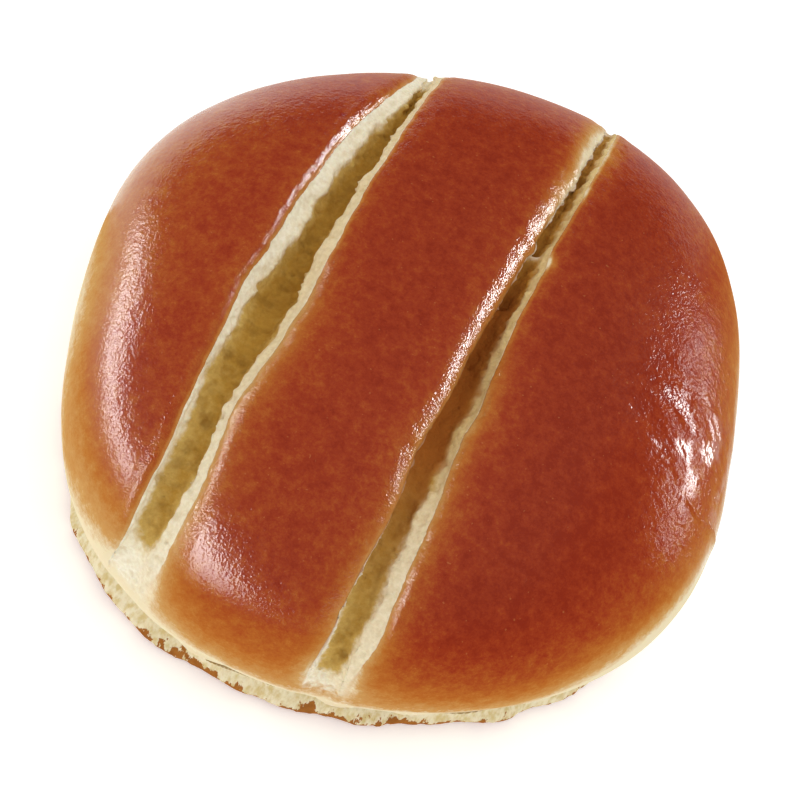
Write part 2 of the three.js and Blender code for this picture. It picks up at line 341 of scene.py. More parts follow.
def noise(points, size, seed):
    """Smooth noise from -1 to 1 with features of the given size."""
    scaled = points / size
    cell = np.floor(scaled).astype(np.int64)
    part = scaled - cell
    part = part * part * part * (part * (part * 6.0 - 15.0) + 10.0)
    total = np.zeros(len(points))
    for dx in (0, 1):
        for dy in (0, 1):
            for dz in (0, 1):
                weight = np.ones(len(points))
                for axis, step in enumerate((dx, dy, dz)):
                    weight *= part[:, axis] if step else 1.0 - part[:, axis]
                total += weight * lattice(cell[:, 0] + dx, cell[:, 1] + dy, cell[:, 2] + dz, seed)
    return 2.0 * total - 1.0


def layered(points, layers):
    """Noises on top of each other, each given by height, size and seed."""
    return sum(height * noise(points, size, seed) for height, size, seed in layers)


def dots(points, spacing, seed, smallest, largest):
    """Round dots at random places: 1 in a dot's middle, falling to 0 at its rim."""
    scaled = points / spacing
    cell = np.floor(scaled).astype(np.int64)
    fullest = np.zeros(len(points))
    for dx in (-1, 0, 1):
        for dy in (-1, 0, 1):
            for dz in (-1, 0, 1):
                near = cell + np.array((dx, dy, dz))
                middle = np.stack([near[:, axis] + lattice(near[:, 0], near[:, 1], near[:, 2], seed + axis)
                                   for axis in range(3)], axis=1)
                size = lattice(near[:, 0], near[:, 1], near[:, 2], seed + 7)
                rim = mix(smallest, largest, size ** 3)
                away = np.linalg.norm(points - middle * spacing, axis=1)
                fullest = np.maximum(fullest, 1.0 - np.clip(away / rim, 0.0, 1.0) ** 2)
    return fullest


# Body of the solid
def plan_radius(angle):
    radius = np.full_like(angle, RADIUS)
    for folds, swing, crest in OUTLINE_WAVES:
        radius += swing * np.cos(folds * (angle - np.radians(crest)))
    return radius


def foot_crag(angle, level):
    crag = np.zeros_like(angle)
    for folds, swing, phase in FOOT_CRAGS:
        crag += swing * np.sin(folds * angle + phase + level * CRAG_SLANT)
    rising = smoothstep(level, -BASE_ROUNDING, BASE_ROUNDING)
    fading = 1.0 - smoothstep(level, CREASE_LEVEL, CRAG_TOP)
    return crag * rising * fading


def side_ratio(level):
    """Plan size at a level, as a share of the widest level."""
    rest = 1.0 - np.clip(level / BASE_ROUNDING, 0.0, 1.0)
    base = BASE_RATIO + (FOOT_RATIO - BASE_RATIO) * np.sqrt(1.0 - rest * rest)
    foot = mix(FOOT_RATIO, CREASE_RATIO, smoothstep(level, BASE_ROUNDING, CREASE_LEVEL))
    below = np.clip((WIDEST_LEVEL - level) / (WIDEST_LEVEL - CREASE_LEVEL), 0.0, 1.0)
    lower = CREASE_RATIO + (1.0 - CREASE_RATIO) * np.sqrt(1.0 - below * below)
    rise = np.clip((level - WIDEST_LEVEL) / (HEIGHT - WIDEST_LEVEL), 0.0, 1.0)
    upper = (1.0 - rise ** RISE_POWER) ** (1.0 / PLAN_POWER)
    return np.select([level <= BASE_ROUNDING, level <= CREASE_LEVEL, level <= WIDEST_LEVEL],
                     [base, foot, lower], upper)


def middle_at(level):
    low = 1.0 - smoothstep(level, 0.0, WIDEST_LEVEL)
    return DOME_MIDDLE[0] + FOOT_SHIFT[0] * low, DOME_MIDDLE[1] + FOOT_SHIFT[1] * low


def is_inside(x, y, z):
    out_x = x - DOME_MIDDLE[0]
    out_y = y - DOME_MIDDLE[1]
    return np.hypot(out_x, out_y) < plan_radius(np.arctan2(out_y, out_x)) * side_ratio(z)


def find_pole(side, steps=7201):
    """Place on the widest level that lies farthest to one side."""
    angle = np.linspace(-np.pi, np.pi, steps)
    radius = plan_radius(angle)
    best = np.argmax(side * radius * np.cos(angle))
    return (DOME_MIDDLE[0] + radius[best] * math.cos(angle[best]),
            DOME_MIDDLE[1] + radius[best] * math.sin(angle[best]))


LEFT_POLE = find_pole(-1.0)
RIGHT_POLE = find_pole(1.0)


def core_along(x):
    """Y of the line that the upright sections turn about."""
    right = np.clip((x - CORE_FRONT) / (RIGHT_POLE[0] - CORE_FRONT), 0.0, 1.0) ** 2
    left = np.clip((x - CORE_BACK) / (LEFT_POLE[0] - CORE_BACK), 0.0, 1.0) ** 2
    return RIGHT_POLE[1] * right + LEFT_POLE[1] * left


def section_reach(x, direction, halvings=30):
    """Distance to the unscored crust in the section at x, over the top half."""
    inner = np.zeros_like(x)
    outer = np.full_like(x, 2.0 * RADIUS)
    start = core_along(x)
    for _ in range(halvings):
        middle = 0.5 * (inner + outer)
        found = is_inside(x, start - middle * np.cos(direction), WIDEST_LEVEL + middle * np.sin(direction))
        inner = np.where(found, middle, inner)
        outer = np.where(found, outer, middle)
    return inner


# Scores
def depth_share(degrees):
    front = smoothstep(degrees, SCORE_FRONT, SCORE_FULL_FRONT)
    back = 1.0 - smoothstep(degrees, SCORE_FULL_BACK, SCORE_BACK)
    return np.minimum(front, back)


ARC_DEGREES = np.linspace(0.0, 180.0, 361)
ARC_REACH = section_reach(np.zeros_like(ARC_DEGREES), np.radians(ARC_DEGREES))
ARC_STEPS = np.hypot(np.diff(ARC_REACH * np.cos(np.radians(ARC_DEGREES))),
                     np.diff(ARC_REACH * np.sin(np.radians(ARC_DEGREES))))
ARC_LENGTH = np.concatenate([[0.0], np.cumsum(ARC_STEPS)])
ARC_BELOW = 0.94  # millimetres for a degree farther down the front


def arc_at(degrees):
    """Length over the crust from level at the front, in millimetres."""
    return np.interp(degrees, ARC_DEGREES, ARC_LENGTH) + np.minimum(degrees, 0.0) * ARC_BELOW


def waver(arc, seed, steps):
    """Unevenness along a score, from noise of a few given lengths and swings."""
    line = np.stack([arc, np.zeros_like(arc), np.zeros_like(arc)], axis=1)
    return sum(swing * noise(line, length, seed + number) for number, (length, swing) in enumerate(steps))


def along(keys, degrees, column=1):
    """Value between keys that are given by degrees over the top."""
    table = np.array(keys)
    return np.interp(degrees, table[:, 0], table[:, column])


def score_lips(number, degrees):
    """X of both lips of a score."""
    score = SCORES[number]
    way_front = np.clip((SCORE_CROWN - degrees) / SCORE_CROWN, 0.0, 1.0)
    way_back = np.clip((degrees - SCORE_CROWN) / SCORE_BACK_SPAN, 0.0, 1.0)
    front, back = score["front"], score["back"]
    middle = (score["middle"] + front["bend"] * way_front ** front["bend_power"]
              + back["bend"] * way_back ** back["bend_power"])
    half = (score["half"] + (front["half"] - score["half"]) * way_front ** front["half_power"]
            + (back["half"] - score["half"]) * way_back ** back["half_power"])
    steady = np.minimum(1.0, WAVER_SHARE * half)
    arc = arc_at(degrees)
    low = 1.0 - smoothstep(degrees, FLARE_LOW, FLARE_HIGH)
    lips = []
    for side, sign in SIDES:
        lip = middle + sign * half + waver(arc, LIP_SEEDS[side] + 10 * number, LIP_WAVER) * steady
        for owner, strayed_side, where, span, shift in LIP_STRAYS:
            if owner == number and strayed_side == side:
                lip = lip + shift * bell(degrees, where, span)
        lips.append(lip + LIPS[number][side]["flare"] * low)
    return lips


def fillet(away, radius):
    """Drop of a rounded edge at a distance from it."""
    rest = np.clip(1.0 - FILLET_START - away / radius, 0.0, 1.0)
    return radius * (1.0 - np.sqrt(1.0 - rest * rest))


def lip_fall(lip, away):
    """How far the crust has fallen at a distance from a lip."""
    swell = lip["swell"] * (bell(away, SWELL_PLACE, SWELL_WIDTH) - bell(0.0, SWELL_PLACE, SWELL_WIDTH))
    slope = lip["slope"] * SLOPE_SOFTNESS * np.logaddexp(0.0, (lip["reach"] - away) / SLOPE_SOFTNESS)
    return slope + fillet(away, lip["round"]) - swell


def lip_paling(number, side, beyond, degrees):
    """Share by which a lip has paled at a distance beyond its edge."""
    lip = LIPS[number][side]
    less = smoothstep(degrees, *BACK_PALING_SPAN) if side == "right" else 0.0
    soft = np.exp(-beyond / (lip["pale_reach"] * (1.0 - BACK_REACH_LOSS * less)))
    rim = RIM_SHARE * (1.0 - smoothstep(beyond, *RIM_FADE))
    return np.maximum(lip["paling"] * (1.0 - BACK_PALING_LOSS * less) * soft, rim)


def torn_crust(number, side, beyond, degrees):
    """Share of torn crust beyond a lip, and its paling."""
    tear = np.zeros_like(beyond)
    paling = np.zeros_like(beyond)
    for owner, torn_side, where, span, far, strength in TEARS:
        if owner == number and torn_side == side:
            torn = bell(degrees, where, span) * (1.0 - smoothstep(beyond, TEAR_FULL * far, far))
            tear = np.maximum(tear, torn)
            paling += strength * torn
    return tear, paling


def score_profile(number, across, left, right, degrees):
    """X of a score's surface from lip to lip, and the depth there: ledge, trough, ledge."""
    middle = 0.5 * (left + right)
    half = 0.5 * (right - left)
    arc = arc_at(degrees)
    x = middle.copy()
    cut = np.zeros_like(x)
    depth = along(TROUGHS[number], degrees)
    for owner, where, span, deeper in HOLLOWS:
        if owner == number:
            depth = depth + deeper * bell(degrees, where, span)
    out = np.abs(across)
    on_ledge = np.clip((1.0 - out) / LEDGE_SHARE, 0.0, 1.0)
    turn = 0.5 * np.pi * np.clip(out / (1.0 - LEDGE_SHARE), 0.0, 1.0)
    is_trough = out < 1.0 - LEDGE_SHARE
    for side, sign in SIDES:
        ledge = LEDGES[number][side]
        shape = TROUGH_SIDES[number][side]
        ragged = 1.0 + shape["ragged"] * waver(arc, LEDGE_SEEDS[side] + 20 * number, LEDGE_WAVER)
        width = np.minimum(along(ledge, degrees) * ragged, LEDGE_WIDEST * half)
        drop = along(ledge, degrees, 2) * ragged
        from_middle = np.where(is_trough, (half - width) * np.sin(turn), half - width * on_ledge)
        shelf = drop * mix(on_ledge, np.sin(0.5 * np.pi * on_ledge), shape["shelf"])
        down = np.where(is_trough, drop + (depth - drop) * np.cos(turn) ** shape["power"], shelf)
        mine = (across * sign) >= 0.0
        x = np.where(mine, middle + sign * from_middle, x)
        cut = np.where(mine, down, cut)
    return x, cut


def painted_shade_depth(number, profile, share, degrees):
    """Depth of a score as its painted shade shows it: the crumb's colour darkens with it."""
    front_tone, back_tone = CRUMB_SHADE_TONES[number]
    tone = mix(front_tone, 1.0, smoothstep(degrees, *FRONT_SHADE_TONE_SPAN))
    tone = tone + (back_tone - 1.0) * smoothstep(degrees, *BACK_SHADE_TONE_SPAN)
    return profile * tone * smoothstep(share, *FLOOR_ENDS[number])


def right_wall_shade_share(number, across, degrees):
    """Painted shade of a score's crumb, a warm darker tint: on its right wall most, and less at the front."""
    warm = RIGHT_WALL_SHADE[number] * mix(RIGHT_WALL_SHADE_FRONT, 1.0, smoothstep(degrees, *RIGHT_WALL_SHADE_SPAN))
    return warm * smoothstep(across, *RIGHT_WALL_SHADE_ACROSS)


def trough_painted_shade(across, opening, degrees):
    """Painted brown shade in the trough and under the left lip."""
    trough = mix(SHADE_SHALLOW, 1.0, smoothstep(opening, 0.0, 1.0)) * smoothstep(across, *SHADE_ACROSS)
    trough = trough * smoothstep(degrees, *SHADE_SPAN)
    trough = trough * (1.0 - SHADE_BACK_LOSS * smoothstep(degrees, *SHADE_BACK_SPAN))
    lip = LIP_SHADE * smoothstep(across, *LIP_SHADE_ACROSS) * smoothstep(degrees, *LIP_SHADE_SPAN)
    return np.maximum(trough, lip * smoothstep(degrees, *LIP_SHADE_BACK_SPAN))


def lay_out(band, degrees):
    """X across the bun, the way across each score (-1 to 1), the scores' full depths, and all lips."""
    lips = [lip for number in range(len(SCORES)) for lip in score_lips(number, degrees)]
    left_start = np.arcsin(np.clip(lips[0] / LEFT_POLE[0], -1.0, 1.0))
    left_lobe = LEFT_POLE[0] * np.sin(mix(np.pi / 2.0, left_start, np.clip(band, 0.0, 1.0)))
    right_start = np.arcsin(np.clip(lips[3] / RIGHT_POLE[0], -1.0, 1.0))
    right_lobe = RIGHT_POLE[0] * np.sin(mix(right_start, np.pi / 2.0, np.clip(band - 4.0, 0.0, 1.0)))
    middle_lobe = mix(lips[1], lips[2], np.clip(band - 2.0, 0.0, 1.0))
    across_first = np.clip(2.0 * (band - 1.0) - 1.0, -1.0, 1.0)
    across_second = np.clip(2.0 * (band - 3.0) - 1.0, -1.0, 1.0)
    first, first_cut = score_profile(0, across_first, lips[0], lips[1], degrees)
    second, second_cut = score_profile(1, across_second, lips[2], lips[3], degrees)
    x = np.select([band <= 1.0, band <= 2.0, band <= 3.0, band <= 4.0],
                  [left_lobe, first, middle_lobe, second], right_lobe)
    return x, (across_first, across_second), (first_cut, second_cut), lips


def open_scores(band, degrees, x, across, profile, lips):
    """Depth of both scores below the crust, lean of their walls, and what relief and colours follow."""
    share = depth_share(degrees)
    end = smoothstep(degrees, *END_SPAN)
    cut, fall, lean, painted_shade_cut, paling, lip_pale, tear, right_wall_shade, painted_shade = np.zeros((9, len(x)))
    edge = np.full_like(x, FAR_FROM_LIPS)
    for number, score in enumerate(SCORES):
        inside = (band > 1.0 + 2.0 * number) & (band < 2.0 + 2.0 * number)
        left, right = lips[2 * number], lips[2 * number + 1]
        way = across[number]
        opening = np.where(inside, profile[number] * share, 0.0)
        cut += opening
        lean += score["tilt"] * np.maximum(opening - score["upright"], 0.0)
        # Painted shade of the crumb: darker with depth, warm on the right walls, brown in the second trough
        painted_shade_cut += np.where(inside, painted_shade_depth(number, profile[number], share, degrees), 0.0)
        right_wall_shade = np.where(inside, right_wall_shade_share(number, way, degrees), right_wall_shade)
        if number == SHADED_SCORE:
            painted_shade = np.where(band > SHADE_FROM_BAND, trough_painted_shade(way, opening, degrees), 0.0)
        beyond = {"left": np.maximum(left - x, 0.0), "right": np.maximum(x - right, 0.0)}
        left_fall, right_fall = (lip_fall(LIPS[number][side], beyond[side]) for side, _ in SIDES)
        right_fall = right_fall * (1.0 - BACK_FLATTER * smoothstep(degrees, *BACK_FLATTER_SPAN))
        fall += share * mix(left_fall, right_fall, 0.5 * (way + 1.0))
        wall = (1.0 - np.abs(way)) * (0.5 * (right - left) + score["depth"] * share)
        wrap = np.where(way < 0.0, LIPS[number]["left"]["wrap"], LIPS[number]["right"]["wrap"])
        away = np.where(inside, wrap - wall, np.maximum(beyond["left"], beyond["right"]) + wrap)
        edge = np.where(np.abs(away) < np.abs(edge), away, edge)
        fading = np.where(inside, np.exp(-wall / WRAP_FADE), 1.0)
        for side, sign in SIDES:
            is_mine = way * sign > 0.0
            soft = lip_paling(number, side, beyond[side], degrees) * fading
            torn, torn_paling = torn_crust(number, side, beyond[side], degrees)
            pale = END_PALING * end * np.exp(-beyond[side] / END_REACH) + torn_paling
            lip_pale = np.maximum(lip_pale, np.where(is_mine, soft, 0.0))
            tear = np.maximum(tear, np.where(is_mine, torn, 0.0))
            paling = np.maximum(paling, np.where(is_mine, pale, 0.0))
    spot = {"share": share, "cut": painted_shade_cut, "edge": edge, "paling": paling, "lip_pale": lip_pale,
            "tear": tear, "end": end, "right_wall_shade": right_wall_shade, "painted_shade": painted_shade}
    return cut + fall, lean, spot


def place(band, turn):
    """Places of the scored surface for bands and turns, with what relief and colours need to know."""
    over_crown = np.clip(turn, 0.0, 180.0)
    is_back = turn > 90.0
    below = np.where(is_back, np.maximum(turn - 180.0, 0.0), np.maximum(-turn, 0.0))
    # On the side the level falls with the turn, and the degrees of the section follow the level
    level = WIDEST_LEVEL * (1.0 - np.clip(below / SIDE_TURN, 0.0, 1.0))
    dip = np.degrees(np.arctan2(WIDEST_LEVEL - level, SIDE_REACH * RADIUS))
    degrees = np.where(below > 0.0, np.where(is_back, 180.0 + dip, -dip), over_crown)
    x, across, profile, lips = lay_out(band, degrees)
    depth, lean, spot = open_scores(band, degrees, x, across, profile, lips)
    # Crown: out from the core line to the crust, less the depth. At the poles all sections meet
    at_pole = (band <= 0.0) | (band >= len(BAND_COLUMNS))
    direction = np.radians(over_crown)
    start = core_along(x)
    reach = np.where(at_pole, 0.0, section_reach(x, direction))
    depth = np.where(at_pole, 0.0, depth)
    over = np.stack([x + lean, start - (reach - depth) * np.cos(direction),
                     WIDEST_LEVEL + (reach - depth) * np.sin(direction)], axis=1)
    # Side: straight down from the widest level, in the direction of the place on it
    rim_along = start - reach * np.cos(direction)
    angle = np.arctan2(rim_along - DOME_MIDDLE[1], x - DOME_MIDDLE[0])
    middle_x, middle_y = middle_at(level)
    out = plan_radius(angle) * side_ratio(level) + foot_crag(angle, level)
    inward = np.where(is_back, -1.0, 1.0)
    side = np.stack([middle_x + out * np.cos(angle) + lean, middle_y + out * np.sin(angle) + inward * depth,
                     level], axis=1)
    # Base: from its rim to a line across the middle
    to_middle = np.clip((below - SIDE_TURN) / BASE_TURN, 0.0, 1.0)
    axis = np.zeros_like(side)
    axis[:, 0] = mix(BASE_LINE * LEFT_POLE[0], BASE_LINE * RIGHT_POLE[0], band / len(BAND_COLUMNS))
    side = mix(side, axis, to_middle[:, None])
    spot["to_middle"] = to_middle
    spot["points"] = np.where((below > 0.0)[:, None], side, over)
    return spot


# Mesh
def start_grid():
    """Coarse triangles over the bands and turns: three band-and-turn pairs for each triangle."""
    columns = [0.0]
    for band, count in enumerate(BAND_COLUMNS):
        columns += [band + (step + 1) / count for step in range(count)]
    rows = [-SIDE_TURN - BASE_TURN * (1.0 - step / BASE_ROWS) for step in range(BASE_ROWS)]
    rows += [-SIDE_TURN * (1.0 - step / SIDE_ROWS) for step in range(SIDE_ROWS)]
    rows += [180.0 * step / CROWN_ROWS for step in range(CROWN_ROWS)]
    rows += [180.0 + SIDE_TURN * step / SIDE_ROWS for step in range(SIDE_ROWS)]
    rows += [180.0 + SIDE_TURN + BASE_TURN * step / BASE_ROWS for step in range(BASE_ROWS + 1)]
    triangles = []
    for left, right in zip(columns[:-1], columns[1:]):
        for low, high in zip(rows[:-1], rows[1:]):
            triangles.append(((left, low), (right, high), (right, low)))
            triangles.append(((left, low), (left, high), (right, high)))
    return np.array(triangles)


def weld(points):
    """Number of each distinct place, and one index of each."""
    rounded = np.round(points * WELD_STEPS).astype(np.int64)
    _, first, number = np.unique(rounded, axis=0, return_index=True, return_inverse=True)
    return number.reshape(-1), first


def place_corners(triangles):
    """Places of all triangle corners, worked out once for corners that share band and turn."""
    pairs, number = np.unique(triangles.reshape(-1, 2), axis=0, return_inverse=True)
    spot = place(pairs[:, 0], pairs[:, 1])
    return {name: values[number.reshape(-1)] for name, values in spot.items()}


def wanted_size(spot):
    """Edge length wanted at each place: fine in the crumb and along the lips, coarse on the smooth crust."""
    points = spot["points"]
    edge = spot["edge"]
    level = points[:, 2]
    size = np.full(len(edge), SKIN_GRID)
    near_lip = np.where(edge < 0.0, CRUMB_GRID, CRUMB_GRID + CRUMB_GRID_GROWTH * np.abs(edge))
    is_open = smoothstep(spot["share"], 0.0, 0.08) > 0.1
    size = np.where(is_open, np.minimum(size, near_lip), size)
    near_foot = FOOT_GRID + FOOT_GRID_GROWTH * np.maximum(level - CRAG_TOP, 0.0)
    size = np.where(level < CRAG_TOP + 1.0, np.minimum(size, near_foot), size)
    is_wrinkled = shoulder(points) > 0.12
    size = np.where(is_wrinkled, np.minimum(size, WRINKLE_GRID), size)
    is_marked = np.maximum(*marks(points)) > 0.004
    size = np.where(is_marked, np.minimum(size, MARK_GRID), size)
    return np.where(spot["to_middle"] > 0.04, BASE_GRID, size)


def refine(triangles, rounds):
    """Splits edges that are longer than wanted until none are left."""
    for _ in range(rounds):
        spot = place_corners(triangles)
        number, _ = weld(spot["points"])
        number = number.reshape(-1, 3)
        size = wanted_size(spot).reshape(-1, 3)
        where = spot["points"].reshape(-1, 3, 3)
        following = [1, 2, 0]
        length = np.linalg.norm(where - where[:, following], axis=2)
        wanted = np.minimum(size, size[:, following])
        pair = np.sort(np.stack([number, number[:, following]], axis=2), axis=2)
        key = pair[..., 0] * (number.max() + 1) + pair[..., 1]
        _, edge_of = np.unique(key, return_inverse=True)
        edge_of = edge_of.reshape(-1, 3)
        is_long = np.zeros(edge_of.max() + 1, dtype=bool)
        is_long[edge_of[(length > SPLIT_OVER * wanted) & (pair[..., 0] != pair[..., 1])]] = True
        split = is_long[edge_of]
        if not split.any():
            break
        triangles = divide(triangles, split)
    return triangles


def divide(triangles, split):
    """Cuts each triangle at the middles of its split sides."""
    count = split.sum(axis=1)
    done = [triangles[count == 0]]
    for wanted in (1, 2, 3):
        chosen = count == wanted
        parts = triangles[chosen]
        is_split = split[chosen]
        # Turn each triangle so that a single split side comes first, or a single whole side last
        if wanted == 1:
            first = np.argmax(is_split, axis=1)
        elif wanted == 2:
            first = (np.argmin(is_split, axis=1) + 1) % 3
        else:
            first = np.zeros(len(parts), dtype=int)
        order = (first[:, None] + np.arange(3)) % 3
        parts = np.take_along_axis(parts, order[:, :, None], axis=1)
        a, b, c = parts[:, 0], parts[:, 1], parts[:, 2]
        ab, bc, ca = 0.5 * (a + b), 0.5 * (b + c), 0.5 * (c + a)
        pieces = {
            1: ((a, ab, c), (ab, b, c)),
            2: ((ab, b, bc), (a, ab, bc), (a, bc, c)),
            3: ((a, ab, ca), (ab, b, bc), (ca, bc, c), (ab, bc, ca)),
        }[wanted]
        done += [np.stack(piece, axis=1) for piece in pieces]
    return np.concatenate(done)


def corner_normals(points, faces):
    sides = points[faces]
    face_normals = np.cross(sides[:, 1] - sides[:, 0], sides[:, 2] - sides[:, 0])
    normals = np.zeros_like(points)
    for corner in range(3):
        for axis in range(3):
            normals[:, axis] += np.bincount(faces[:, corner], face_normals[:, axis], len(points))
    return normals / np.maximum(np.linalg.norm(normals, axis=1), 1e-9)[:, None]


def bun_mesh():
    triangles = refine(start_grid(), SPLIT_ROUNDS)
    spot = place_corners(triangles)
    number, first = weld(spot["points"])
    faces = number.reshape(-1, 3)
    kept = (faces[:, 0] != faces[:, 1]) & (faces[:, 1] != faces[:, 2]) & (faces[:, 2] != faces[:, 0])
    return {name: values[first] for name, values in spot.items()}, faces[kept]


# Zones and marks of the skin
def measures(points):
    direction = np.degrees(np.arctan2(points[:, 1], points[:, 0]))
    return {"x": points[:, 0], "y": points[:, 1], "level": points[:, 2],
            "direction": direction, "off_right": np.abs(direction)}


def zone_share(zone, where):
    """How far each place lies in a zone, from 0 to 1."""
    share = 1.0
    for name, (low, high) in zone.get("ramps", {}).items():
        share = share * smoothstep(where[name], low, high)
    for name, (middle, width) in zone.get("bells", {}).items():
        share = share * bell(where[name], middle, width)
    return share


def zoned(zones, where):
    return sum(zone["amount"] * zone_share(zone, where) for zone in zones)


def shoulder(points):
    """Share of the wrinkled skin on the right shoulder."""
    return zone_share(SHOULDER, measures(points))


def shoulder_wrinkles(points):
    """Fine slanting wrinkles of the skin on the right shoulder, and one longer fold in front of them."""
    where = measures(points)
    direction, level = where["direction"], where["level"]
    run = WRINKLE_RUN[0] * direction + WRINKLE_RUN[1] * level
    cross = WRINKLE_CROSS[0] * direction + WRINKLE_CROSS[1] * level
    slanted = np.stack([run / WRINKLE_STRETCH, cross, np.zeros_like(run)], axis=1)
    height, size, seed = RIDGES
    wrinkles = height * (1.0 - 2.0 * np.abs(noise(slanted, size, seed)))
    wrinkles += layered(slanted, FINE_WRINKLES) + layered(points, SKIN_PATCHES)
    fold_direction = FOLD_DIRECTION + FOLD_TURN * smoothstep(level, *FOLD_TURN_LEVELS)
    fold = bell(direction, fold_direction, FOLD_WIDTH)
    fold = fold * smoothstep(level, *FOLD_FOOT) * smoothstep(level, *FOLD_TOP)
    return shoulder(points) * wrinkles - FOLD_DEPTH * fold


def marks(points):
    """Closeness to the scratches and to the dark blister: 1 on them, falling to 0 beside them."""
    plan = points[:, :2]
    scratch = np.zeros(len(points))
    for line in SCRATCHES:
        for start, stop in zip(line[:-1], line[1:]):
            way = np.array(stop) - np.array(start)
            share = np.clip((plan - np.array(start)) @ way / (way @ way), 0.0, 1.0)
            away = np.linalg.norm(plan - np.array(start) - share[:, None] * way, axis=1)
            scratch = np.maximum(scratch, bell(away, 0.0, SCRATCH_WIDTH))
    x, y, radius = BLISTER
    blister = bell(np.hypot(plan[:, 0] - x, plan[:, 1] - y), 0.0, radius)
    is_top = smoothstep(points[:, 2], *MARK_LEVELS)
    return scratch * is_top, blister * is_top


# Relief
def crease_level(points):
    """Level of the crease under the crust, round the bun."""
    angle = np.arctan2(points[:, 1], points[:, 0])
    round_way = np.stack([angle * RADIUS, np.zeros_like(angle), np.zeros_like(angle)], axis=1)
    return CREASE_LEVEL - CREASE_DROP + layered(round_way, CREASE_WAVER)


def foot_relief(points, level):
    """The crease under the crust, and the fibres of the torn foot."""
    angle = np.arctan2(points[:, 1], points[:, 0])
    crease = crease_level(points)
    groove = -CREASE_DEPTH * bell(level, crease, CREASE_WIDTH)
    below = 1.0 - smoothstep(level, crease - FOOT_BLEND, crease)
    fibre = np.stack([angle * RADIUS, level * FIBRE_STREAK, np.zeros_like(angle)], axis=1)
    return groove + below * layered(fibre, FIBRE_RELIEF)


def pore_relief(points):
    """A round pore with a raised rim in the floor of the first score."""
    x, y, radius = PORE
    away = np.hypot(points[:, 0] - x, points[:, 1] - y) / radius
    height, middle, width = PORE_RIM
    return height * bell(away, middle, width) - PORE_DEPTH * (1.0 - np.clip(away, 0.0, 1.0) ** 2)


def relieve(spot, faces):
    """Places with the relief of crust, crumb and foot, and how far each lies in the crease, for the painted
    shade there.
    """
    points = spot["points"]
    level = points[:, 2]
    edge = spot["edge"]
    open_score = smoothstep(spot["share"], *OPEN_SHARES)
    in_crumb = smoothstep(-edge, *CRUMB_START) * open_score
    is_base = smoothstep(spot["to_middle"], 0.0, BASE_EDGE)
    on_foot = (1.0 - smoothstep(level, CREASE_LEVEL - FOOT_EDGE, CREASE_LEVEL + FOOT_EDGE)) * (1.0 - is_base)
    on_crust = (1.0 - in_crumb) * (1.0 - on_foot) * (1.0 - is_base)
    near_lip = bell(edge, BEAD_PLACE, BEAD_WIDTH) * open_score * (1.0 - in_crumb)
    scratch, _ = marks(points)
    push = on_crust * (layered(points, CRUST_RELIEF) + shoulder_wrinkles(points) - SCRATCH_DEPTH * scratch)
    push += in_crumb * (layered(points, CRUMB_RELIEF) + pore_relief(points))
    for height, spacing, seed, smallest, largest in CRUMB_DOTS:
        push += in_crumb * height * dots(points, spacing, seed, smallest, largest)
    push += near_lip * layered(points, LIP_RELIEF)
    push += spot["tear"] * layered(points, TEAR_RELIEF)
    push += on_foot * layered(points * FOOT_STREAK, FOOT_RELIEF)
    push += foot_relief(points, level) * (1.0 - is_base)
    push += is_base * layered(points, BASE_RELIEF)
    placed = points + corner_normals(points, faces) * push[:, None]
    placed[:, 2] = np.maximum(placed[:, 2], 0.0)
    return placed, bell(level, crease_level(points), CREASE_SHADE)


# What the crust's colour and gloss follow
def browning(places):
    """How far above the paling of the low sides each place lies, in millimetres."""
    where = measures(places)
    paling = PALING_LEVEL + zoned(PALING_ZONES, where) + layered(places, PALING_WAVER)
    brown = np.minimum(where["level"] - paling, MOST_BROWN) + layered(places, BROWN_BLOTCHES)
    scratch, _ = marks(places)
    return brown + zoned(BROWN_ZONES, where) - SCRATCH_PALING * scratch


def glaze_share(places, brown):
    """How much brushed glaze lies on each place: full on the crown, less down the sides and far back."""
    where = measures(places)
    is_back = np.maximum(*(smoothstep(where[name], *span) for name, span in GLAZE_BACK.items()))
    lowest = GLAZE_LOW + GLAZE_FRONT_RISE * bell(where["direction"], *GLAZE_FRONT) - GLAZE_BACK_DROP * is_back
    palest = GLAZE_PALEST - GLAZE_BACK_PALER * is_back
    full = 1.0 - GLAZE_BACK_LOSS * smoothstep(where["y"], *GLAZE_LOSS_SPAN)
    patch = smoothstep(layered(places, PATCH_NOISE), *PATCH_STEP) * bell(where["direction"], *PATCH_DIRECTION)
    full = full * mix(1.0, mix(RUBBED_GLAZE, PATCH_GLAZE, patch), zone_share(RUBBED, where))
    rising = smoothstep(where["level"], lowest, lowest + GLAZE_FADE)
    return full * rising * smoothstep(brown, palest - GLAZE_FADE, palest)


def foot_scorch(places):
    """Level up to which the foot is browned, before its chips."""
    return SCORCH_LOW + SCORCH_FRONT * bell(measures(places)["direction"], *SCORCH_DIRECTION)


def build_bun():
    spot, faces = bun_mesh()
    places, crease = relieve(spot, faces)
    crust_brown = browning(places)
    open_score = smoothstep(spot["share"], *OPEN_SHARES)
    brown = crust_brown - open_score * spot["lip_pale"] * np.maximum(crust_brown - LIP_PALEST, 0.0)
    brown = brown - open_score * spot["paling"]
    mesh = bpy.data.meshes.new("bun_roll")
    mesh.from_pydata((places * MILLIMETRE).tolist(), [], faces.tolist())
    mesh.polygons.foreach_set("use_smooth", np.ones(len(faces), dtype=bool))
    layers = {name: spot[name] for name in ("edge", "share", "cut", "tear", "end", "right_wall_shade", "painted_shade")}
    layers.update(level=places[:, 2], crease=crease, browning=brown, glaze=glaze_share(places, crust_brown),
                  scorch=foot_scorch(places), blister=marks(places)[1], wrinkled=shoulder(places))
    for name, values in layers.items():
        layer = mesh.attributes.new(name, "FLOAT", "POINT")
        layer.data.foreach_set("value", values.astype(np.float32))
    mesh.update()
    roll = bpy.data.objects.new("bun_roll", mesh)
    bpy.context.scene.collection.objects.link(roll)
    return roll


roll = build_bun()
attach(roll, "root")
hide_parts("bun")
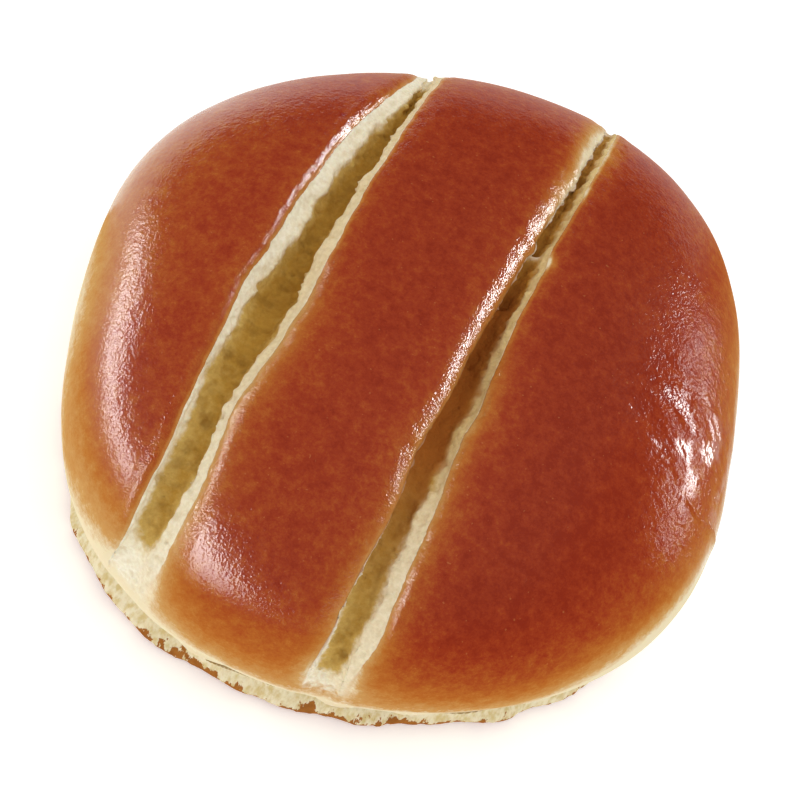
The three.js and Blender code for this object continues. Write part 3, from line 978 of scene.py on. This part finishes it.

# Colours of the skin, as screen values; the crust's stops are by browning, and the crumb's stops are by
# depth, darkening as painted shade
CRUST_STOPS = (
    (0.00, (238, 222, 184)),
    (0.15, (206, 156, 92)),
    (0.30, (192, 122, 55)),
    (0.40, (184, 104, 42)),
    (0.50, (177, 91, 38)),
    (0.62, (169, 74, 33)),
    (0.78, (159, 59, 30)),
    (1.00, (143, 46, 25)),
)
BROWN_LOW = -15.0
BROWN_HIGH = 15.0
# Crumb from cream to ochre: the deeper stops are painted shade of the troughs
CRUMB_SHADE_STOPS = (
    (0.00, (254, 246, 222)),
    (0.25, (252, 242, 214)),
    (0.40, (212, 178, 102)),
    (0.60, (184, 140, 60)),
    (1.00, (158, 110, 44)),
)
CRUMB_DEPTH = 8.0
SPECK = (222, 158, 92)
LOW_CRUMB = (248, 238, 212)
BLISTER_RED = (135, 8, 18)
# Painted shade: a warm darker tint for the right walls of the scores
RIGHT_WALL_SHADE_TINT = (231, 209, 166)
BLOTCH = (190, 156, 84)
GRIT_TINT = (206, 188, 150)
# Painted shade: dark pits deep in the crumb
PAINTED_PIT_SHADE = (126, 86, 34)
# Painted shade: brown for the second score's trough and under its left lip
PAINTED_SHADE_BROWN = (170, 100, 41)
FOOT_CREAM = (238, 226, 192)
FOOT_TAN = (214, 192, 136)
CHIP_DARK = (130, 72, 30)
CHIP_LIGHT = (190, 126, 60)
# Painted shade along the crease under the crust
CREASE_PAINTED_SHADE = (146, 106, 44)

# Noises of the skin: size in millimetres, detail and roughness
MOTTLE_NOISE = (2.2, 4.0, 0.9)
SPECK_NOISE = (0.5, 0.0, 0.5)
LOW_CRUMB_NOISE = (0.9, 2.0, 0.6)
EDGE_NOISE = (1.2, 2.0, 0.5)
CUT_NOISE = (1.6, 3.0, 0.6)
BLOTCH_NOISE = (1.5, 3.0, 0.6)
GRIT_NOISE = (0.7, 2.0, 0.6)
PIT_SHADE_NOISE = (2.2, 2.0, 0.5)
FOOT_TOP_NOISE = (3.0, 3.0, 0.5)
FIBRE_NOISE = (1.0, 3.0, 0.6)
CHIP_NOISE = (2.2, 4.0, 0.7)
CHIP_TONE_NOISE = (1.6, 3.0, 0.5)
GRAIN_NOISE = (0.34, 1.0, 0.5)
SMALL_LUMP_NOISE = (0.65, 1.0, 0.5)
LUMP_NOISE = (1.3, 1.0, 0.5)
PORE_NOISE = (0.6, 3.0, 0.6)
FIBRE_GRAIN_NOISE = (0.7, 3.0, 0.6)
STREAK = (1.0, 1.0, 0.35)  # noises of the foot are stretched upright

# Steps of the skin: between the first two values the result eases from the third to the fourth
MOTTLE_STEP = (-10.0, 9.0, 9.0, 35.0)  # mottled more where browner
SPECK_STEP = (0.81, 0.87, 0.0, 0.2)
LOW_CRUMB_STEP = (0.58, 0.66, 0.0, 1.0)
LOW_CRUMB_LEVELS = (9.0, 15.0, 0.7, 0.0)
BLOTCH_STEP = (0.45, 0.75, 0.0, 0.22)
GRIT_STEP = (0.35, 0.65, 0.0, 0.22)
PIT_SHADE_STEP = (0.46, 0.74, 0.0, 0.42)
PIT_SHADE_DEPTHS = (2.4, 4.2, 0.0, 1.0)
EDGE_INNER = (0.0, 1.0, -0.12, -1.4)  # the crumb's edge is sharp, but soft where a score runs out
EDGE_OUTER = (0.0, 1.0, 0.06, 0.3)
OPEN_STEP = (0.1, 0.2, 0.0, 1.0)
FOOT_STEP = (-0.5, 0.4, 1.0, 0.0)
FIBRE_STEP = (0.35, 0.7, 0.0, 1.0)
CHIP_STEP = (-0.3, 0.2, 1.0, 0.0)
CREASE_SHADE_STEP = (0.35, 0.95, 0.0, 0.8)
GLAZE_STEP = (0.0, 1.0, 1.0, 0.0)
ROUGHNESS_STEP = (0.0, 1.0, 0.55, 0.92)
BEAD_START = (0.3, 0.8, 0.0, 1.0)
BEAD_STOP = (2.2, 3.2, 1.0, 0.0)
BEAD_GRAIN = (0.0, 1.0, 0.8, 2.0)
WRINKLED_STEP = (0.1, 0.6, 1.0, 2.3)

# How far edges stray by noise, and heights of the fine grain as multiples of the grain's height
EDGE_STRAY = 0.5
OPEN_STRAY = 0.4
CUT_STRAY = 2.4
FOOT_TOP_STRAY = 2.0
CHIP_STRAY = 12.0
CHIP_LEVEL = 0.6
TEAR_MATT = 0.5
GRAIN_HEIGHT = 0.06
SMALL_LUMP_HEIGHT = 0.65
LUMP_HEIGHT = 0.9
PORE_HEIGHT = 4.5
FIBRE_HEIGHT = 3.5


# Material
def shade(colour):
    """Linear colour from screen values."""
    return tuple(((part / 255.0 + 0.055) / 1.055) ** 2.4 for part in colour) + (1.0,)


class Skin:
    """A node material built up from small steps."""

    def __init__(self, name):
        self.material = bpy.data.materials.new(name)
        self.material.use_nodes = True
        self.tree = self.material.node_tree
        self.tree.nodes.clear()

    def node(self, kind, inputs, **settings):
        made = self.tree.nodes.new(kind)
        for name, setting in settings.items():
            setattr(made, name, setting)
        for name, value in inputs.items():
            if isinstance(value, bpy.types.NodeSocket):
                self.tree.links.new(value, made.inputs[name])
            else:
                made.inputs[name].default_value = value
        return made

    def attribute(self, name):
        return self.node("ShaderNodeAttribute", {}, attribute_name=name).outputs["Fac"]

    def math(self, operation, first, second=0.0, third=0.0):
        return self.node("ShaderNodeMath", {0: first, 1: second, 2: third}, operation=operation).outputs[0]

    def step(self, value, low, high, start, end):
        """Eases from start to end while the value goes from low to high."""
        inputs = {"Value": value, "From Min": low, "From Max": high, "To Min": start, "To Max": end}
        return self.node("ShaderNodeMapRange", inputs, interpolation_type="SMOOTHSTEP").outputs["Result"]

    def place(self, stretch=(1.0, 1.0, 1.0)):
        place = self.node("ShaderNodeTexCoord", {}).outputs["Object"]
        return self.node("ShaderNodeMapping", {"Vector": place, "Scale": stretch}).outputs["Vector"]

    def noise(self, kind, vector=None):
        """Noise from 0 to 1 of a given size, detail and roughness."""
        size, detail, roughness = kind
        inputs = {"Scale": 1.0 / (size * MILLIMETRE), "Detail": detail, "Roughness": roughness,
                  "Vector": vector or self.place()}
        return self.node("ShaderNodeTexNoise", inputs).outputs["Fac"]

    def swing(self, kind, height, middle=0.0, vector=None):
        """Noise that swings by a height about a middle value."""
        return self.math("MULTIPLY_ADD", self.noise(kind, vector), height, middle - 0.5 * height)

    def ramp(self, value, stops):
        made = self.node("ShaderNodeValToRGB", {"Fac": value})
        points = made.color_ramp.elements
        while len(points) < len(stops):
            points.new(0.5)
        for point, (position, colour) in zip(points, stops):
            point.position = position
            point.color = shade(colour)
        return made.outputs["Color"]

    def blend(self, share, first, second, mode="MIX"):
        inputs = {0: share, 6: first, 7: second}
        return self.node("ShaderNodeMix", inputs, data_type="RGBA", blend_type=mode).outputs[2]

    def between(self, share, first, second):
        return self.node("ShaderNodeMix", {0: share, 2: first, 3: second}, data_type="FLOAT").outputs[0]


def crust_colour(skin, level):
    """Dark on the crown, paling to tan and cream down the sides and along the lips, and mottled all over."""
    browned = skin.attribute("browning")
    mottle = skin.math("MULTIPLY", skin.swing(MOTTLE_NOISE, 1.0), skin.step(browned, *MOTTLE_STEP))
    brown = skin.math("ADD", browned, mottle)
    brown_range = {"Value": brown, "From Min": BROWN_LOW, "From Max": BROWN_HIGH}
    colour = skin.ramp(skin.node("ShaderNodeMapRange", brown_range).outputs["Result"], CRUST_STOPS)
    specks = skin.step(skin.noise(SPECK_NOISE), *SPECK_STEP)
    colour = skin.blend(specks, colour, shade(SPECK))
    low_crumbs = skin.step(skin.noise(LOW_CRUMB_NOISE), *LOW_CRUMB_STEP)
    low_crumbs = skin.math("MULTIPLY", low_crumbs, skin.step(level, *LOW_CRUMB_LEVELS))
    colour = skin.blend(low_crumbs, colour, shade(LOW_CRUMB))
    return skin.blend(skin.attribute("blister"), colour, shade(BLISTER_RED))


def crumb_colour(skin):
    """Cream, with painted shade: a warm darker tint on the right walls, ochre with dark pits where it lies
    deep, and brown in the second score's trough and under its left lip.
    """
    cut = skin.attribute("cut")
    ragged_cut = skin.math("ADD", cut, skin.swing(CUT_NOISE, CUT_STRAY))
    colour = skin.ramp(skin.math("DIVIDE", ragged_cut, CRUMB_DEPTH), CRUMB_SHADE_STOPS)
    colour = skin.blend(skin.attribute("right_wall_shade"), colour, shade(RIGHT_WALL_SHADE_TINT), "MULTIPLY")
    colour = skin.blend(skin.step(skin.noise(BLOTCH_NOISE), *BLOTCH_STEP), colour, shade(BLOTCH))
    colour = skin.blend(skin.step(skin.noise(GRIT_NOISE), *GRIT_STEP), colour, shade(GRIT_TINT), "MULTIPLY")
    # Painted shade: dark pits where the crumb lies deep
    pit_shade = skin.math("MULTIPLY", skin.step(skin.noise(PIT_SHADE_NOISE), *PIT_SHADE_STEP), skin.step(cut, *PIT_SHADE_DEPTHS))
    colour = skin.blend(pit_shade, colour, shade(PAINTED_PIT_SHADE))
    # Painted shade: brown in the second score's trough and under its left lip
    return skin.blend(skin.attribute("painted_shade"), colour, shade(PAINTED_SHADE_BROWN))


def foot_colour(skin, level, streaks):
    """Pale and fibrous, with browned chips at the base."""
    fibres = skin.step(skin.noise(FIBRE_NOISE, streaks), *FIBRE_STEP)
    pale = skin.blend(fibres, shade(FOOT_CREAM), shade(FOOT_TAN))
    chip_top = skin.swing(CHIP_NOISE, CHIP_STRAY, CHIP_LEVEL, streaks)
    chip_top = skin.math("ADD", chip_top, skin.attribute("scorch"))
    is_chip = skin.step(skin.math("SUBTRACT", level, chip_top), *CHIP_STEP)
    browned = skin.blend(skin.noise(CHIP_TONE_NOISE), shade(CHIP_DARK), shade(CHIP_LIGHT))
    return skin.blend(is_chip, pale, browned)


def crumb_share(skin, edge):
    """1 in the scores and 0 on the crust, with a ragged edge."""
    ragged = skin.swing(EDGE_NOISE, EDGE_STRAY)
    end = skin.attribute("end")
    inner = skin.step(end, *EDGE_INNER)
    outer = skin.step(end, *EDGE_OUTER)
    in_score = skin.step(skin.math("ADD", edge, ragged), inner, outer, 1.0, 0.0)
    torn_share = skin.math("MULTIPLY_ADD", ragged, OPEN_STRAY, skin.attribute("share"))
    return skin.math("MULTIPLY", in_score, skin.step(torn_share, *OPEN_STEP))


def fine_grain(skin, edge, matt, is_foot, streaks):
    """Height of the skin's grain, coarser along lips and wrinkles, and of the porous crumb and the fibres."""
    beads = skin.math("MULTIPLY", skin.step(edge, *BEAD_START), skin.step(edge, *BEAD_STOP))
    grain = skin.math("MULTIPLY", skin.noise(GRAIN_NOISE), skin.step(beads, *BEAD_GRAIN))
    lumps = skin.math("MULTIPLY", skin.noise(SMALL_LUMP_NOISE), SMALL_LUMP_HEIGHT)
    lumps = skin.math("MULTIPLY_ADD", skin.noise(LUMP_NOISE), LUMP_HEIGHT, lumps)
    wrinkled = skin.step(skin.attribute("wrinkled"), *WRINKLED_STEP)
    grain = skin.math("MULTIPLY_ADD", lumps, wrinkled, grain)
    pores = skin.math("MULTIPLY", skin.noise(PORE_NOISE), PORE_HEIGHT)
    fibres = skin.math("MULTIPLY", skin.noise(FIBRE_GRAIN_NOISE, streaks), FIBRE_HEIGHT)
    return skin.between(matt, grain, skin.between(is_foot, pores, fibres))


def bun_skin():
    skin = Skin("bun_skin")
    edge = skin.attribute("edge")
    level = skin.attribute("level")
    streaks = skin.place(STREAK)
    foot_top = skin.swing(FOOT_TOP_NOISE, FOOT_TOP_STRAY, CREASE_LEVEL)
    is_foot = skin.step(skin.math("SUBTRACT", level, foot_top), *FOOT_STEP)
    is_crumb = crumb_share(skin, edge)
    colour = skin.blend(is_foot, crust_colour(skin, level), foot_colour(skin, level, streaks))
    colour = skin.blend(is_crumb, colour, crumb_colour(skin))
    # Painted shade: the crease under the crust is darkened olive brown
    colour = skin.blend(skin.step(skin.attribute("crease"), *CREASE_SHADE_STEP), colour, shade(CREASE_PAINTED_SHADE))
    # Crumb and foot are matt, and torn crust half so
    half_matt = skin.math("MULTIPLY", skin.attribute("tear"), TEAR_MATT)
    matt = skin.math("MAXIMUM", skin.math("MAXIMUM", is_foot, is_crumb), half_matt)
    glaze = skin.math("MULTIPLY", skin.attribute("glaze"), skin.step(matt, *GLAZE_STEP))
    height = fine_grain(skin, edge, matt, is_foot, streaks)
    bump = {"Height": height, "Strength": 1.0, "Distance": GRAIN_HEIGHT * MILLIMETRE}
    normal = skin.node("ShaderNodeBump", bump).outputs["Normal"]
    principled = skin.node("ShaderNodeBsdfPrincipled", {
        "Base Color": colour,
        "Roughness": skin.step(matt, *ROUGHNESS_STEP),
        "Specular IOR Level": 0.0,
        "Coat Weight": glaze,
        "Coat Roughness": 0.17,
        "Coat IOR": 1.5,
        "Coat Normal": normal,
        "Subsurface Weight": 0.12,
        "Subsurface Radius": (1.0, 0.5, 0.2),
        "Subsurface Scale": 1.0 * MILLIMETRE,
        "Normal": normal,
    })
    skin.node("ShaderNodeOutputMaterial", {"Surface": principled.outputs["BSDF"]})
    return skin.material


roll.data.materials.append(bun_skin())

# Camera, in metres
AIM = Vector((0.16, -3.26, 18.0)) * MILLIMETRE
ELEVATION = math.radians(58.0)
ROLL = math.radians(-27.0)
DISTANCE = 0.750
LENS = 220.7
SENSOR = 36.0
NEAREST = 0.01


def add_camera():
    back = Vector((0.0, -math.cos(ELEVATION), math.sin(ELEVATION)))
    right = Vector((1.0, 0.0, 0.0))
    up = back.cross(right)
    turned_right = right * math.cos(ROLL) - up * math.sin(ROLL)
    turned_up = right * math.sin(ROLL) + up * math.cos(ROLL)
    data = bpy.data.cameras.new("camera")
    data.lens = LENS
    data.sensor_width = SENSOR
    data.clip_start = NEAREST
    camera = bpy.data.objects.new("camera", data)
    bpy.context.scene.collection.objects.link(camera)
    turned = Matrix((turned_right, turned_up, back)).transposed().to_4x4()
    camera.matrix_world = Matrix.Translation(AIM + back * DISTANCE) @ turned
    bpy.context.scene.camera = camera


add_camera()

# Floor, in metres: white, and glowing a little so that it stays white round the bun
FLOOR_HALF = 2.0
FLOOR_DROP = 0.0002
FLOOR_COLOUR = (0.96, 0.96, 0.96, 1.0)
FLOOR_GLOW = 0.34
WHITE = (1.0, 1.0, 1.0, 1.0)


def add_floor():
    mesh = bpy.data.meshes.new("floor")
    corners = [(x * FLOOR_HALF, y * FLOOR_HALF, 0.0) for x, y in ((-1, -1), (1, -1), (1, 1), (-1, 1))]
    mesh.from_pydata(corners, [], [(0, 1, 2, 3)])
    table = Skin("table_white")
    cloth = table.node("ShaderNodeBsdfDiffuse", {"Color": FLOOR_COLOUR})
    glow = table.node("ShaderNodeEmission", {"Color": WHITE, "Strength": FLOOR_GLOW})
    lit_cloth = table.node("ShaderNodeAddShader", {0: cloth.outputs["BSDF"], 1: glow.outputs["Emission"]})
    table.node("ShaderNodeOutputMaterial", {"Surface": lit_cloth.outputs["Shader"]})
    mesh.materials.append(table.material)
    made = bpy.data.objects.new("floor", mesh)
    bpy.context.scene.collection.objects.link(made)
    made.location.z = -FLOOR_DROP
    return made


floor = add_floor()

# Light: low panels that show in the glaze, and two that only light the bun evenly
PANEL_DISTANCE = 0.8
PANEL_AIM = Vector((0.0, 0.0, 0.02))
PANELS = (
    {"name": "right_back", "azimuth": 35.0, "elevation": 8.0, "width": 0.44, "height": 0.24, "watts": 12.5},
    {"name": "left", "azimuth": 190.0, "elevation": 7.0, "width": 0.86, "height": 0.12, "watts": 5.4,
     "roll": 8.0},
    {"name": "front", "azimuth": -113.0, "elevation": 15.0, "width": 0.72, "height": 0.26, "watts": 8.8,
     "roll": -48.0},
    {"name": "left_fill", "azimuth": -155.0, "elevation": 28.0, "width": 0.6, "height": 0.6, "watts": 1.0,
     "in_glaze": False},
    {"name": "overhead", "azimuth": 20.0, "elevation": 66.0, "width": 0.9, "height": 0.9, "watts": 1.6,
     "in_glaze": False},
)
AMBIENT = 0.70


def add_panel(name, azimuth, elevation, width, height, watts, roll=0.0, in_glaze=True):
    """A soft light panel that faces the bun, turned about the line to it by the roll."""
    data = bpy.data.lights.new(name, "AREA")
    data.shape = "RECTANGLE"
    data.size = width
    data.size_y = height
    data.energy = watts
    panel = bpy.data.objects.new(name, data)
    bpy.context.scene.collection.objects.link(panel)
    turn = math.radians(azimuth)
    tip = math.radians(elevation)
    way = Vector((math.cos(tip) * math.cos(turn), math.cos(tip) * math.sin(turn), math.sin(tip)))
    panel.location = way * PANEL_DISTANCE + PANEL_AIM
    facing = (-way).to_track_quat("-Z", "Y") @ Quaternion((0.0, 0.0, 1.0), math.radians(roll))
    panel.rotation_euler = facing.to_euler()
    panel.visible_glossy = in_glaze
    panel.visible_diffuse = not in_glaze


for panel in PANELS:
    add_panel(**panel)

world = bpy.data.worlds.new("studio")
world.use_nodes = True
background = world.node_tree.nodes["Background"]
background.inputs["Color"].default_value = WHITE
background.inputs["Strength"].default_value = AMBIENT
world.cycles_visibility.glossy = False
bpy.context.scene.world = world
bpy.context.scene.view_settings.view_transform = "Standard"
